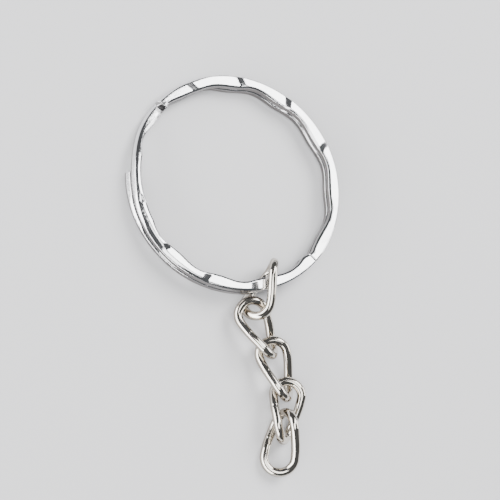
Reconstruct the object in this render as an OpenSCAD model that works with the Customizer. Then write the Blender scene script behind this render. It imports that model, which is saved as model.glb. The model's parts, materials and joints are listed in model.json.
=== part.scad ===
// Split key ring with a short chain of five twisted curb links.
// The ring is one flattened wire wound nearly twice round, and the chain hangs from it by its first
// link. Origin: centre of the ring. +Z: away from the table. The chain leaves the ring towards -Y.

/* [Ring] */
// Outer diameter of the ring
ring_od = 30; // [28:0.5:34]
// Widest width of the ring's wire, measured along a radius
ring_wire_w = 1.65; // [1.4:0.05:1.65]
// Thickness of the ring's wire, measured along the ring's axis
ring_wire_t = 1.18; // [1.0:0.02:1.2]
// Clear gap between the two coils
coil_gap = 0.04; // [0.02:0.01:0.1]
// Radius on the long edges of the ring's wire
ring_edge_r = 0.25; // [0.15:0.05:0.4]
// Number of hammered flats in one turn
hammer_flats = 12; // [8:2:24]
// Angle from the upper free end to the first ridge between two flats
first_ridge = 21; // [0:1:40]
// Depth of a hammered flat in the wire's two faces together
hammer_depth = 0.14; // [0.02:0.02:0.2]
// How much the wire's inner wall waves in and out
side_wave = 0.4; // [0:0.05:0.5]

/* [Ends of the ring's wire] */
// Angle of the upper coil's free end
upper_end_at = 118; // [100:1:120]
// Arc over which the wire steps down from the upper to the lower coil
step_arc = 42; // [30:1:60]
// Arc of the upper coil that is pried open to thread a key
leaf_arc = 180; // [120:10:190]

/* [Chain] */
// Length of a link, outside
link_len = 9; // [9:0.1:9.2]
// Width of a link, outside
link_w = 5.2; // [5.1:0.1:5.4]
// Diameter of a link's wire
link_wire_d = 1.2; // [1.1:0.05:1.2]
// Twist of a link from one end to the other
link_twist = 60; // [56:1:62]

/* [Hidden] */

// Ring: the coils' pitch, the circle through the middle of the wire, and the whole turn of the wire
coil_pitch = ring_wire_t + coil_gap;
coil_r = (ring_od - ring_wire_w) / 2;
level_arc = 360 - step_arc;
wire_arc = 2 * level_arc + step_arc;
// The leaf stops short of the rest of the wire by this angle
leaf_cut = 0.1;
// The ring's -Y side stands on the first link, so the ring leans by this angle
ring_lean = 2.8;
ring_step = 3;
corner_points = 3;

// Chain: half of the straight length and half of the width, along the middle of the wire
link_half_l = (link_len - link_wire_d) / 2;
link_half_w = (link_w - link_wire_d) / 2;
link_straight = link_half_l - link_half_w;
link_loop = 4 * link_straight + 2 * PI * link_half_w;
link_rings = 60;
link_sides = 12;
// Point inside the ring's wire round which the first link hooks
chain_start = [-0.6, -14, 0.7];
// One row for each link: heading, pitch and roll in degrees, then how far its centre sits from its hook
link_pose = [
    [-41, 4, -76, 0.9],
    [12, 3, 20, 1.9],
    [0, 0, 20, 2],
    [-28, -2, 20, 1.7],
    [-25, 12, -50, 0.3]
];

ring_colour = [0.82, 0.82, 0.83];
link_colour = [0.74, 0.72, 0.69];

// Smooth step from 0 to 1
function ease(x) = let (t = min(1, max(0, x))) t * t * (3 - 2 * t);
function cross_unit(a, b) = let (c = cross(a, b)) c / norm(c);

// --- Ring's wire -----------------------------------------------------------

// Height of the middle of the wire, at an angle along it from the upper free end
function wire_z(along) = coil_pitch * (0.5 - ease((along - level_arc) / step_arc));

// Hammering at an angle along the wire: its faces sink from a ridge to the middle of a flat, and the
// metal they lose is squeezed inwards, most of all just before the next ridge
function face_dent(along) = hammer_depth * abs(sin((along - first_ridge) * hammer_flats / 2));
function side_dent(along) = side_wave * (1 + sin((along - first_ridge) * hammer_flats)) / 2;

// Rounded rectangle that is the wire's section: [outwards along the radius, up]
function wire_section() = [
    for (corner = [0:3])
        for (i = [0:corner_points - 1])
            let (a = 90 * corner + 90 * i / (corner_points - 1),
                 cx = (corner == 0 || corner == 3 ? 1 : -1) * (ring_wire_w / 2 - ring_edge_r),
                 cz = (corner < 2 ? 1 : -1) * (ring_wire_t / 2 - ring_edge_r))
            [cx + ring_edge_r * cos(a), cz + ring_edge_r * sin(a)]
];

// The hammering leaves the outer wall round
function hammered(p, along) = [
    p[0] < 0 ? p[0] + side_dent(along) : p[0],
    p[1] * (1 - face_dent(along) / ring_wire_t)
];

function wire_station(along) = [
    for (p = wire_section())
        let (q = hammered(p, along), a = upper_end_at - along, r = coil_r + q[0])
        [r * cos(a), r * sin(a), wire_z(along) + q[1]]
];

// Triangles of a tube of rings of points, given its number of rings and of points in each
function tube_faces(rings, sides, closed) = [
    for (i = [0:rings - (closed ? 1 : 2)])
        for (j = [0:sides - 1])
            let (k = (i + 1) % rings, m = (j + 1) % sides)
            each [
                [i * sides + j, k * sides + j, k * sides + m],
                [i * sides + j, k * sides + m, i * sides + m]
            ]
];

function cap_faces(rings, sides) = [
    [for (j = [0:sides - 1]) j],
    [for (j = [sides - 1:-1:0]) (rings - 1) * sides + j]
];

// Stretch of the ring's wire between two angles along it
module ring_wire(from, to) {
    steps = round((to - from) / ring_step);
    sides = len(wire_section());
    points = [for (i = [0:steps]) each wire_station(from + (to - from) * i / steps)];
    faces = concat(tube_faces(steps + 1, sides, false), cap_faces(steps + 1, sides));
    rotate([-ring_lean, 0, 0])
        polyhedron(points, faces, convexity = 6);
}

// --- Twisted curb link -----------------------------------------------------

// Point of a flat link's middle line at a distance along it: two straights and two round ends
function flat_link(s) =
    let (end_arc = PI * link_half_w,
         a = (s - link_straight) / link_half_w * 180 / PI,
         b = (s - 3 * link_straight - end_arc) / link_half_w * 180 / PI)
    s < link_straight ? [link_half_w, s] :
    s < link_straight + end_arc ? [link_half_w * cos(a), link_straight + link_half_w * sin(a)] :
    s < 3 * link_straight + end_arc ? [-link_half_w, 2 * link_straight + end_arc - s] :
    s < 3 * link_straight + 2 * end_arc ? [-link_half_w * cos(b), -link_straight - link_half_w * sin(b)] :
    [link_half_w, s - link_loop];

// Turn of the link's face at a height along it, steepest in the middle and level at the ends
function link_turn(y) = let (v = y / link_half_l) link_twist / 2 * (1.5 * v - 0.5 * pow(v, 3));

function link_point(i) =
    let (p = flat_link(link_loop * ((i + link_rings) % link_rings) / link_rings), a = link_turn(p[1]))
    [p[0] * cos(a), p[1], p[0] * sin(a)];

function link_station(i) =
    let (p = link_point(i),
         along = link_point(i + 1) - link_point(i - 1),
         a = link_turn(p[1]),
         side = cross_unit(along, [-sin(a), 0, cos(a)]),
         up = cross_unit(side, along))
    [for (j = [0:link_sides - 1])
        p + link_wire_d / 2 * (cos(360 * j / link_sides) * side + sin(360 * j / link_sides) * up)];

module curb_link() {
    points = [for (i = [0:link_rings - 1]) each link_station(i)];
    polyhedron(points, tube_faces(link_rings, link_sides, true), convexity = 6);
}

// Direction of a link's length, pointing back up the chain
function link_axis(k) =
    let (h = link_pose[k][0], p = link_pose[k][1])
    [-sin(h) * cos(p), cos(h) * cos(p), sin(p)];

// Where a link hooks: in the ring's wire, or in the wire at the far end of the link before it
function link_hook(k) = k == 0 ? chain_start : link_centre(k - 1) - link_half_l * link_axis(k - 1);
function link_centre(k) = link_hook(k) - link_pose[k][3] * link_axis(k);

module placed_link(k) {
    pose = link_pose[k];
    color(link_colour)
        translate(link_centre(k))
            rotate([0, 0, pose[0]])
                rotate([pose[1], 0, 0])
                    rotate([0, pose[2], 0])
                        curb_link();
}

// --- Sub-parts -------------------------------------------------------------

// The wire from the root of the leaf, round the upper coil, down the step and round the lower coil
module split_ring() {
    color(ring_colour)
        ring_wire(leaf_arc, wire_arc);
}

// The free stretch of the upper coil, which springs up when it is pried open
module split_ring_leaf() {
    color(ring_colour)
        ring_wire(0, leaf_arc - leaf_cut);
}

module link_1() {
    placed_link(0);
}

module link_2() {
    placed_link(1);
}

module link_3() {
    placed_link(2);
}

module link_4() {
    placed_link(3);
}

module link_5() {
    placed_link(4);
}

split_ring();
split_ring_leaf();
link_1();
link_2();
link_3();
link_4();
link_5();
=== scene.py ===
"""Split key ring with a chain of five twisted curb links."""
import json
import math

import bpy
import numpy as np
from mathutils import Matrix, Vector


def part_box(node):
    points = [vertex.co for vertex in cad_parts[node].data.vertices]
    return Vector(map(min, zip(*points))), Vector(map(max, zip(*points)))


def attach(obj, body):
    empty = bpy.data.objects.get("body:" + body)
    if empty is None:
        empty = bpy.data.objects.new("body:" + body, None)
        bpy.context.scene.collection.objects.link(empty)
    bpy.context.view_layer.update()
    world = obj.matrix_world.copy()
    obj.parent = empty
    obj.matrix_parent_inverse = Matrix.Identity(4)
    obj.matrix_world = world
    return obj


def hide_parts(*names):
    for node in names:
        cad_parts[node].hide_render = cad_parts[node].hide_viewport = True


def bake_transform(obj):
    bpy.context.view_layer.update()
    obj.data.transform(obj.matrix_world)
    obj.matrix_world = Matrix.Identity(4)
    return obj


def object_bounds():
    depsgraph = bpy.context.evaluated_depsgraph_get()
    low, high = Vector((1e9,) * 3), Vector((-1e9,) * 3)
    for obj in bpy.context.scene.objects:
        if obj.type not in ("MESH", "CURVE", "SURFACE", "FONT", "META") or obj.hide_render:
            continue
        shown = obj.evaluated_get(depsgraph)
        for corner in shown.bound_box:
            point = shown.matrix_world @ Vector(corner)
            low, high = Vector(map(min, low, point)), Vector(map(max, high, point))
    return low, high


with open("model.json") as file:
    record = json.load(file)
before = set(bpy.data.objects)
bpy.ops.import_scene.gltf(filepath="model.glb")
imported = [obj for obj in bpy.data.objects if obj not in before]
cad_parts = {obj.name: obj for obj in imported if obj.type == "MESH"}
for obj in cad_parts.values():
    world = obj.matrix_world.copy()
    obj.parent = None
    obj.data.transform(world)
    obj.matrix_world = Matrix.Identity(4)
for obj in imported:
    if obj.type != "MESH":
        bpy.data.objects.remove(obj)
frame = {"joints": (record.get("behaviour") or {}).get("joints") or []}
cad_low, cad_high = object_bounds()

MM = 0.001
FLOOR_Z = cad_low.z
CENTRE = (cad_low + cad_high) / 2
CENTRE.z = 0

# --- Sizes of the ring's wire, in millimetres and degrees ----------------------

RING_OUTER_R = (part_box("split_ring")[1].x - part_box("split_ring")[0].x) / 2 / MM
RING_WIRE_T = 1.18
RING_COIL_PITCH = 1.22
# How far the wire's section reaches outwards and inwards of its middle line
OUTER_REACH = 0.75
INNER_REACH = 0.88
# How far the wire stays inside the ring's outline
OUTLINE_MARGIN = 0.005
RING_R = RING_OUTER_R - (OUTER_REACH + OUTLINE_MARGIN)
# Radius of each edge of the wire's section: outer top, inner top, inner bottom, outer bottom
EDGE_RADII = (0.15, 0.1, 0.2, 0.15)

# Angles along the wire count from its upper end, which is at this angle round the ring
UPPER_END_AT = 118
# Arcs: the step down between the coils, a coil's level part, the wire, and the half turn that springs up
STEP_ARC = 42
LEVEL_ARC = 360 - STEP_ARC
WIRE_ARC = 2 * LEVEL_ARC + STEP_ARC
LEAF_ARC = 180

# Sections along the wire, and points on each edge and each side of a section
SECTIONS_PER_DEGREE = 1.3
EDGE_POINTS = 8
SIDE_POINTS = 12

# How a cut end of the wire is rounded: distance from the end, and size of the section there
LIP = [(0.0, 0.94), (0.015, 0.975), (0.04, 0.995)]
# The upper end is cut on a slant: how far its lower edge sticks out, and the arc over which this fades
END_SLANT = 1.3
END_SLANT_ARC = 6

# Angles along one turn of the wire at which one hammered flat meets the next
RIDGES = [-9, 21, 51, 80, 111, 143, 174, 187, 219, 246, 273, 302, 332, 360]
# How deep the flat before each ridge is where it meets the ridge, from 0 to 1
PRESSED = [0.4, 1, 1, 0.9, 0.9, 0.5, 0.45, 0.5, 1, 1, 1, 0.9, 0.2, 0.3]
# How deep a flat is where it starts, and how deep the top of a ridge is
FLAT_START = 0.1
RIDGE_TOP = 0.13
# The part of a flat's depth that is left at the foot of the ridge, and the length over which the ridge rises
RIDGE_FOOT = 0.95
RIDGE_RISE = 1.4
# Ridges cross the wire on a slant: degrees along it for each millimetre outwards, and where this is greatest
RIDGE_SLANT = -2.2
RIDGE_SLANT_AT = 20
# How deep the flats are pressed into the top and the bottom
TOP_PRESS = 0.23
BOTTOM_PRESS = 0.35 * TOP_PRESS
# How much the flats tilt across the wire, and how fast this changes from flat to flat
FLAT_TILT = 0.03
FLAT_TILT_CHANGE = 2.4

# How far the inner wall waves out, and where along a flat it does so most
SIDE_WAVE = 0.38
SIDE_WAVE_AT = 0.25
# Where the section starts to follow its inner wall, inwards of the middle line, and over what width
INNER_FROM = 0.05
INNER_OVER = 0.6
# Places where the upper coil is knocked inwards: angle along the wire, how far, and how long
KNOCKED_IN = [(144, 0.16, 26), (318, 0.42, 28)]
# Places where the upper coil's inner wall lies further in: angle along the wire, how far, and how long
BROAD = [(28, 0.3, 9), (306, 0.42, 15)]

# The two slanted facets on the outer top edge: the angle at which each faces up, and its distance
# from the middle line
STEEP_FACET_FACES = 34
STEEP_FACET_REACH = 0.952
LEVEL_FACET_FACES = 52
LEVEL_FACET_REACH = 0.927
# How deep the two facets are: angles along one turn, and depths
FACETS_AT = [0, 20, 32, 45, 120, 165, 200, 245, 262, 275, 290, 310, 340, 360]
STEEP_FACET = [0.3, 0.26, 0.12, 0.03, 0.03, 0.04, 0.04, 0.05, 0.08, 0.1, 0.42, 0.41, 0.33, 0.3]
LEVEL_FACET = [0.2, 0.22, 0.1, 0.06, 0.07, 0.09, 0.1, 0.16, 0.27, 0.34, 0.46, 0.38, 0.3, 0.2]
# The bevel on the inner top edge, and how far it waves in and out along each flat
BEVEL_FACES = 131
BEVEL_REACH = 0.87
BEVEL_WAVE = 0.04
BEVEL_WAVE_AT = 0.1

# --- Sizes of the chain, in millimetres and degrees ----------------------------

LINK_LENGTH = 9
LINK_WIDTH = 5.2
LINK_WIRE = 1.2
LINK_HALF_L = (LINK_LENGTH - LINK_WIRE) / 2
LINK_HALF_W = (LINK_WIDTH - LINK_WIRE) / 2
LINK_TWIST = 60
LINK_RINGS = 180
LINK_SIDES = 40
# Where the first link hooks the ring
CHAIN_START = Vector((-0.6, -14, 0.7))
# Each link as it lies: heading, pitch, roll, distance from hook to centre
LINK_POSES = [
    (-41, 4, -76, 0.9),
    (12, 3, 20, 1.9),
    (0, 0, 20, 2),
    (-28, -2, 20, 1.7),
    (-25, 12, -50, 0.3),
]
# The links' wire is a little uneven: its mean size, how uneven it is, and how much the seam pinches it
LINK_FULLNESS = 0.985
UNEVENNESS = 0.006
SEAM_PINCH = 0.965
# Waves of the unevenness: turns along the link, turns round the wire, and shift from link to link
UNEVEN_WAVES = [(3, 2, 1), (7, -1, 2)]

# --- Looks of the metals -------------------------------------------------------

# Colour, colour where tarnished, least and greatest roughness, strength of dents, and colour of the painted
# shade on upright sides
RING_NICKEL = ((0.78, 0.78, 0.79), (0.66, 0.66, 0.67), 0.08, 0.17, 1.0, (0.3, 0.28, 0.27))
CHAIN_NICKEL = ((0.68, 0.64, 0.58), (0.52, 0.48, 0.42), 0.06, 0.14, 0.4, (0.45, 0.42, 0.38))
# Each noise's scale, per metre, and detail
TARNISH_GRAIN = (420, 4)
POLISH_GRAIN = (900, 6)
DENT_GRAIN = (1200, 3)
SCRATCH_GRAIN = (5000, 4)
SCRATCH_STRETCH = (1, 1, 4)
DENT_DEPTH = 0.02 * MM
SCRATCH_DEPTH = 0.01 * MM
SCRATCH_STRENGTH = 0.1
# Values of their noise over which tarnish and roughness grow from least to greatest
TARNISH_RANGE = (0.45, 0.8)
ROUGH_RANGE = (0.3, 0.7)
# Height of a face's direction for the painted shade: up to the first it is an upright side with full painted
# shade, and past the second it has none
PAINTED_SHADE_RANGE = (0.2, 0.5)

# --- Floor, lights and camera --------------------------------------------------

FLOOR_HALF = 1.5
FLOOR_COLOUR = (0.46, 0.46, 0.47, 1)
FLOOR_ROUGHNESS = 0.9
SKY_COLOUR = (0.93, 0.96, 1, 1)
SKY_STRENGTH = 0.12
# Azimuth, elevation, distance, width and height in metres, power, and whether the metal mirrors it
SOFTBOXES = {
    "panel_over": (242, 52, 0.45, 0.15, 0.30, 1.2, True),
    "panel_behind": (80, 76, 0.45, 0.26, 0.26, 1.1, True),
    "panel_left": (67, 14, 0.45, 0.42, 0.22, 2.8, True),
    "panel_far_left": (116, 14, 0.45, 0.42, 0.22, 2.8, True),
    "panel_right": (278, 22, 0.45, 0.25, 0.22, 0.9, True),
    "softbox_over": (242, 55, 0.5, 0.35, 0.35, 4.5, False),
    "softbox_behind": (80, 60, 0.5, 0.4, 0.4, 3, False),
}
CAMERA_TARGET = Vector((-0.97, -9.15, 0)) * MM
CAMERA_AZIMUTH = 77.65
CAMERA_ELEVATION = 63.55
CAMERA_ROLL = 60.79
CAMERA_DISTANCE = 0.18348
CAMERA_LENS = 99.68
CAMERA_SENSOR = 36
CAMERA_CLIP_START = 0.01


# --- Meshes --------------------------------------------------------------------

def ease(x):
    """A smooth step from 0 at 0 to 1 at 1."""
    x = np.clip(x, 0, 1)
    return x * x * (3 - 2 * x)


def swell(along, places):
    """Height at an angle along the wire of smooth bumps given as places, heights and lengths."""
    return sum(height * np.exp(-((along - at) / length) ** 2) for at, height, length in places)


def tube_mesh(name, points, closed):
    """A mesh skinned over rings of points, an array of rings by sides by 3, with flat ends if it is open."""
    rings, sides, _ = points.shape
    faces = []
    for i in range(rings if closed else rings - 1):
        k = (i + 1) % rings
        for j in range(sides):
            m = (j + 1) % sides
            faces.append((i * sides + j, k * sides + j, k * sides + m, i * sides + m))
    if not closed:
        faces.append(tuple(range(sides)))
        faces.append(tuple((rings - 1) * sides + j for j in reversed(range(sides))))
    mesh = bpy.data.meshes.new(name)
    mesh.from_pydata((points.reshape(-1, 3) * MM).tolist(), [], faces)
    mesh.polygons.foreach_set("use_smooth", [True] * len(faces))
    if not closed:
        mesh.polygons[-1].use_smooth = False
        mesh.polygons[-2].use_smooth = False
    mesh.update()
    piece = bpy.data.objects.new(name, mesh)
    bpy.context.scene.collection.objects.link(piece)
    return piece


# --- Ring's wire ---------------------------------------------------------------

def ring_axis():
    """The ring's own axis, which the first link's joint turns about."""
    joint = next(j for j in frame["joints"] if j["child"] == "link_1")
    return -Vector(joint["axis"]).normalized()


def wire_height(along):
    """Height of the wire's line: the upper coil, the step down, and the lower coil."""
    return RING_COIL_PITCH * (0.5 - ease((along - LEVEL_ARC) / STEP_ARC))


def plain_section():
    """The wire's section before hammering, a rectangle with rounded edges: outwards, up."""
    half_t = RING_WIRE_T / 2
    reaches = (OUTER_REACH, -INNER_REACH, -INNER_REACH, OUTER_REACH)
    corners = zip(reaches, (half_t, half_t, -half_t, -half_t))
    arcs = []
    for number, ((u, v), radius) in enumerate(zip(corners, EDGE_RADII)):
        middle = np.array((u - math.copysign(radius, u), v - math.copysign(radius, v)))
        turn = math.pi / 2 * (number + np.arange(EDGE_POINTS) / (EDGE_POINTS - 1))
        arcs.append(middle + radius * np.stack([np.cos(turn), np.sin(turn)], 1))
    share = 0.5 - 0.5 * np.cos(math.pi * np.arange(1, SIDE_POINTS + 1) / (SIDE_POINTS + 1))
    outline = []
    for arc, next_arc in zip(arcs, arcs[1:] + arcs[:1]):
        outline.append(arc)
        outline.append(arc[-1] + (next_arc[0] - arc[-1]) * share[:, None])
    return np.concatenate(outline)


def flat_at(along):
    """Place within a hammered flat from 0 to 1, distance past the nearest ridge, and the flat's number."""
    local = along % 360
    ridges = np.array(RIDGES)
    number = np.minimum(np.searchsorted(ridges, local, side="right") - 1, len(RIDGES) - 2)
    start, end = ridges[number], ridges[number + 1]
    mm_per_degree = math.pi / 180 * RING_R
    after = (local - start) * mm_per_degree
    before = (end - local) * mm_per_degree
    return (local - start) / (end - start), np.where(after < before, after, -before), number


def wave(t, shift):
    """A wave from 0 up to 1 and back over one flat, lowest at the shift."""
    return 0.5 - 0.5 * np.cos(2 * math.pi * (t - shift))


def cut(u, v, angle, offset):
    """Points of a section with everything beyond a slanted plane pushed back onto it."""
    a = math.radians(angle)
    beyond = np.maximum(0, u * math.cos(a) + v * math.sin(a) - offset)
    return u - beyond * math.cos(a), v - beyond * math.sin(a)


def hammered(along, u, v):
    """Section points after hammering, for arrays of the angle along the wire and of the plain section."""
    turn = along % 360
    slant = RIDGE_SLANT * np.cos(np.radians(turn - RIDGE_SLANT_AT) / 2)
    t, past, number = flat_at(along - slant * u)
    pressed = np.array(PRESSED)
    start, end = pressed[number], pressed[number + 1]
    step = ease(past / RIDGE_RISE + 0.5)
    ridge = RIDGE_FOOT * np.where(past < 0, end, start) * (1 - step) + RIDGE_TOP * step
    sunk = np.where(abs(past) < RIDGE_RISE / 2, ridge, FLAT_START + (end - FLAT_START) * t)

    u, v = cut(u, v, STEEP_FACET_FACES, STEEP_FACET_REACH - np.interp(turn, FACETS_AT, STEEP_FACET))
    u, v = cut(u, v, LEVEL_FACET_FACES, LEVEL_FACET_REACH - np.interp(turn, FACETS_AT, LEVEL_FACET))
    u, v = cut(u, v, BEVEL_FACES, BEVEL_REACH - BEVEL_WAVE * wave(t, BEVEL_WAVE_AT))

    inner = ease((-u - INNER_FROM) / INNER_OVER)
    narrow = np.maximum(SIDE_WAVE * (1 - wave(t, SIDE_WAVE_AT)) - swell(along, BROAD), 0)
    u = u + narrow * inner - swell(along, KNOCKED_IN) * (1 - inner)

    half_t = RING_WIRE_T / 2
    top = np.clip(v / half_t, 0, 1) ** 2
    bottom = np.clip(-v / half_t, 0, 1) ** 2
    tilt = np.sin(FLAT_TILT_CHANGE * number) * FLAT_TILT * u
    v = v - (TOP_PRESS * sunk - tilt * np.minimum(1, abs(past))) * top + BOTTOM_PRESS * sunk * bottom
    return u, v


def wire_points(start, end, round_start, round_end):
    """Rings of points along the wire between two angles along it, with its cut ends a little rounded."""
    count = int((end - start) * SECTIONS_PER_DEGREE)
    alongs = list(np.linspace(start, end, count + 1))
    scales = [1.0] * len(alongs)
    degrees_per_mm = 180 / math.pi / RING_R
    lip_arcs = [distance * degrees_per_mm for distance, _ in LIP]
    lip_scales = [scale for _, scale in LIP]
    if round_start:
        alongs = [start + arc for arc in lip_arcs] + alongs[1:]
        scales = lip_scales + scales[1:]
    if round_end:
        alongs = alongs[:-1] + [end - arc for arc in reversed(lip_arcs)]
        scales = scales[:-1] + lip_scales[::-1]
    along, scale = np.array(alongs)[:, None], np.array(scales)[:, None]
    section = plain_section()
    u, v = hammered(along, section[None, :, 0], section[None, :, 1])
    r = RING_R + u * scale
    slant = END_SLANT * np.clip(1 - along / END_SLANT_ARC, 0, 1) * (0.5 - v / RING_WIRE_T)
    a = np.radians(UPPER_END_AT - along + slant)
    z = wire_height(along) + v * scale
    lean = Vector((0, 0, 1)).rotation_difference(ring_axis()).to_matrix()
    return np.stack([r * np.cos(a), r * np.sin(a), z], 2) @ np.array(lean).T


def build_ring():
    """The ring's one wire, stored as its free half turn and the rest."""
    leaf = tube_mesh("ring_wire_leaf", wire_points(0, LEAF_ARC, True, False), False)
    wire = tube_mesh("ring_wire", wire_points(LEAF_ARC, WIRE_ARC, False, True), False)
    return wire, leaf


# --- Curb links ----------------------------------------------------------------

def link_line(count):
    """Points of a twisted link's middle line, and the normal of its face at each."""
    straight = LINK_HALF_L - LINK_HALF_W
    end_arc = math.pi * LINK_HALF_W
    loop = 4 * straight + 2 * end_arc
    points = []
    for s in np.arange(count) * loop / count:
        if s < straight:
            x, y = LINK_HALF_W, s
        elif s < straight + end_arc:
            a = (s - straight) / LINK_HALF_W
            x, y = LINK_HALF_W * math.cos(a), straight + LINK_HALF_W * math.sin(a)
        elif s < 3 * straight + end_arc:
            x, y = -LINK_HALF_W, 2 * straight + end_arc - s
        elif s < 3 * straight + 2 * end_arc:
            a = (s - 3 * straight - end_arc) / LINK_HALF_W
            x, y = -LINK_HALF_W * math.cos(a), -straight - LINK_HALF_W * math.sin(a)
        else:
            x, y = LINK_HALF_W, s - loop
        v = y / LINK_HALF_L
        turn = math.radians(LINK_TWIST) / 2 * (1.5 * v - 0.5 * v ** 3)
        points.append((x * math.cos(turn), y, x * math.sin(turn), turn))
    points = np.array(points)
    normals = np.stack([-np.sin(points[:, 3]), np.zeros(count), np.cos(points[:, 3])], 1)
    return points[:, :3], normals


def link_points(number):
    """Rings of points of one link: round wire, a little uneven, with a fine seam where its ends butt."""
    line, normals = link_line(LINK_RINGS)
    along = np.roll(line, -1, 0) - np.roll(line, 1, 0)
    along /= np.linalg.norm(along, axis=1)[:, None]
    side = np.cross(along, normals)
    side /= np.linalg.norm(side, axis=1)[:, None]
    up = np.cross(side, along)
    turn = np.arange(LINK_SIDES) * 2 * math.pi / LINK_SIDES
    at = np.arange(LINK_RINGS)[:, None] * 2 * math.pi / LINK_RINGS
    uneven = sum(np.sin(a * at + b * turn + c * number) for a, b, c in UNEVEN_WAVES)
    radius = LINK_WIRE / 2 * (LINK_FULLNESS + UNEVENNESS * uneven)
    seam = LINK_RINGS // 2
    radius[seam] *= SEAM_PINCH
    ring = side[:, None] * np.cos(turn)[None, :, None] + up[:, None] * np.sin(turn)[None, :, None]
    return line[:, None] + radius[..., None] * ring


def link_turns():
    """Each link's rotation, and its centre in millimetres, worked out down the chain."""
    hook = CHAIN_START
    for heading, pitch, roll, seat in LINK_POSES:
        turn = (Matrix.Rotation(math.radians(heading), 3, "Z")
                @ Matrix.Rotation(math.radians(pitch), 3, "X")
                @ Matrix.Rotation(math.radians(roll), 3, "Y"))
        centre = hook - seat * turn.col[1]
        hook = centre - LINK_HALF_L * turn.col[1]
        yield turn, centre


def build_links():
    """The five links, from the ring down to the open one."""
    links = []
    for number, (turn, centre) in enumerate(link_turns(), 1):
        points = link_points(number) @ np.array(turn).T + np.array(centre)
        links.append(tube_mesh(f"curb_link_{number}", points, True))
    return links


# --- Materials -----------------------------------------------------------------

def nickel(name, colour, tarnish, rough_low, rough_high, dented, painted_side_shade):
    """Bright nickel plate: small dents, fine polishing lines, cloudy patches, and upright sides darkened
    with painted shade.
    """
    material = bpy.data.materials.new(name)
    material.use_nodes = True
    nodes, links = material.node_tree.nodes, material.node_tree.links
    shader = nodes["Principled BSDF"]
    shader.inputs["Metallic"].default_value = 1
    place = nodes.new("ShaderNodeTexCoord").outputs["Object"]

    def noise(grain, stretch=(1, 1, 1)):
        mapping = nodes.new("ShaderNodeMapping")
        mapping.inputs["Scale"].default_value = stretch
        links.new(place, mapping.inputs["Vector"])
        texture = nodes.new("ShaderNodeTexNoise")
        texture.inputs["Scale"].default_value = grain[0]
        texture.inputs["Detail"].default_value = grain[1]
        links.new(mapping.outputs["Vector"], texture.inputs["Vector"])
        return texture.outputs["Fac"]

    def spread(value, span, to_low, to_high):
        node = nodes.new("ShaderNodeMapRange")
        for key, number in zip(("From Min", "From Max", "To Min", "To Max"), (*span, to_low, to_high)):
            node.inputs[key].default_value = number
        links.new(value, node.inputs["Value"])
        return node.outputs["Result"]

    def mix(factor):
        node = nodes.new("ShaderNodeMix")
        node.data_type = "RGBA"
        links.new(factor, node.inputs["Factor"])
        return node

    def bump(height, strength, depth):
        node = nodes.new("ShaderNodeBump")
        node.inputs["Strength"].default_value = strength
        node.inputs["Distance"].default_value = depth
        links.new(height, node.inputs["Height"])
        return node

    tint = mix(spread(noise(TARNISH_GRAIN), TARNISH_RANGE, 0, 1))
    tint.inputs["A"].default_value = (*colour, 1)
    tint.inputs["B"].default_value = (*tarnish, 1)
    # Painted shade: the colour is multiplied darker where a face stands upright, standing in for the shade
    # on the sides
    facing = nodes.new("ShaderNodeSeparateXYZ")
    links.new(nodes.new("ShaderNodeTexCoord").outputs["Normal"], facing.inputs["Vector"])
    level = nodes.new("ShaderNodeMath")
    level.operation = "ABSOLUTE"
    links.new(facing.outputs["Z"], level.inputs[0])
    shade = mix(spread(level.outputs["Value"], PAINTED_SHADE_RANGE, 1, 0))
    shade.blend_type = "MULTIPLY"
    links.new(tint.outputs["Result"], shade.inputs["A"])
    shade.inputs["B"].default_value = (*painted_side_shade, 1)
    links.new(shade.outputs["Result"], shader.inputs["Base Color"])
    links.new(spread(noise(POLISH_GRAIN), ROUGH_RANGE, rough_low, rough_high), shader.inputs["Roughness"])

    dents = bump(noise(DENT_GRAIN), dented, DENT_DEPTH)
    scratches = bump(noise(SCRATCH_GRAIN, SCRATCH_STRETCH), SCRATCH_STRENGTH, SCRATCH_DEPTH)
    links.new(dents.outputs["Normal"], scratches.inputs["Normal"])
    links.new(scratches.outputs["Normal"], shader.inputs["Normal"])
    return material


def floor_material():
    material = bpy.data.materials.new("pale_floor")
    material.use_nodes = True
    shader = material.node_tree.nodes["Principled BSDF"]
    shader.inputs["Base Color"].default_value = FLOOR_COLOUR
    shader.inputs["Roughness"].default_value = FLOOR_ROUGHNESS
    return material


# --- Stage ---------------------------------------------------------------------

def build_floor():
    mesh = bpy.data.meshes.new("floor")
    corners = [(x * FLOOR_HALF, y * FLOOR_HALF, FLOOR_Z) for x, y in ((-1, -1), (1, -1), (1, 1), (-1, 1))]
    mesh.from_pydata(corners, [], [(0, 1, 2, 3)])
    floor = bpy.data.objects.new("floor", mesh)
    bpy.context.scene.collection.objects.link(floor)
    floor.data.materials.append(floor_material())


def direction(azimuth, elevation):
    """Unit vector towards a place seen from the object, its azimuth counted from -Y towards -X."""
    a, e = math.radians(azimuth), math.radians(elevation)
    return Vector((-math.sin(a) * math.cos(e), -math.cos(a) * math.cos(e), math.sin(e)))


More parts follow.
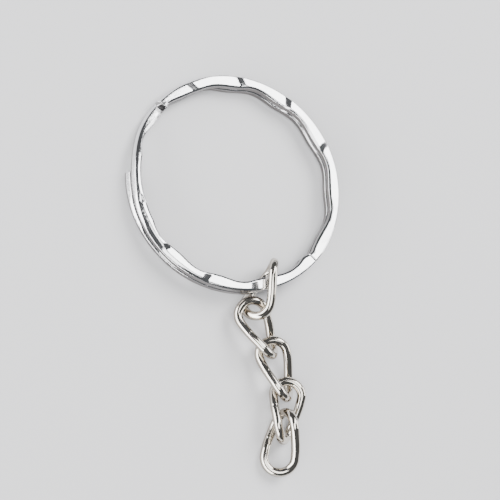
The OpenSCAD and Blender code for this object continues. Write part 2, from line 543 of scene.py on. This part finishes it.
def aim_at(thing, place, target, roll=0):
    """Put a lamp or a camera at a place, facing a target, and turn it about its line of sight."""
    back = (place - target).normalized()
    right = Vector((0, 0, 1)).cross(back).normalized()
    up = back.cross(right)
    turn = Matrix((right, up, back)).transposed() @ Matrix.Rotation(math.radians(roll), 3, "Z")
    thing.matrix_world = Matrix.Translation(place) @ turn.to_4x4()


def build_lights():
    """A dim sky, panels that the metal mirrors, and two softboxes for the floor."""
    world = bpy.data.worlds.new("studio")
    world.use_nodes = True
    background = world.node_tree.nodes["Background"]
    background.inputs["Color"].default_value = SKY_COLOUR
    background.inputs["Strength"].default_value = SKY_STRENGTH
    bpy.context.scene.world = world
    for name, (azimuth, elevation, distance, width, height, power, mirrored) in SOFTBOXES.items():
        data = bpy.data.lights.new(name, "AREA")
        data.shape = "RECTANGLE"
        data.size = width
        data.size_y = height
        data.energy = power
        lamp = bpy.data.objects.new(name, data)
        bpy.context.scene.collection.objects.link(lamp)
        lamp.visible_glossy = mirrored
        aim_at(lamp, CENTRE + distance * direction(azimuth, elevation), CENTRE)


def build_camera():
    data = bpy.data.cameras.new("camera")
    data.sensor_width = CAMERA_SENSOR
    data.lens = CAMERA_LENS
    data.clip_start = CAMERA_CLIP_START
    camera = bpy.data.objects.new("camera", data)
    bpy.context.scene.collection.objects.link(camera)
    place = CAMERA_TARGET + CAMERA_DISTANCE * direction(CAMERA_AZIMUTH, CAMERA_ELEVATION)
    aim_at(camera, place, CAMERA_TARGET, CAMERA_ROLL)
    bpy.context.scene.camera = camera


# --- Key ring ------------------------------------------------------------------

ring_metal = nickel("ring_nickel", *RING_NICKEL)
chain_metal = nickel("chain_nickel", *CHAIN_NICKEL)

ring_wire, ring_leaf = build_ring()
for piece, node in ((ring_wire, "split_ring"), (ring_leaf, "split_ring_leaf")):
    piece.data.materials.append(ring_metal)
    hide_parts(node)
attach(ring_wire, "split_ring")

for number, link in enumerate(build_links(), 1):
    link.data.materials.append(chain_metal)
    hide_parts(f"link_{number}")
    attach(link, f"link_{number}")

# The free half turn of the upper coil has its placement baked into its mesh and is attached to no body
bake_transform(ring_leaf)

build_floor()
build_lights()
build_camera()
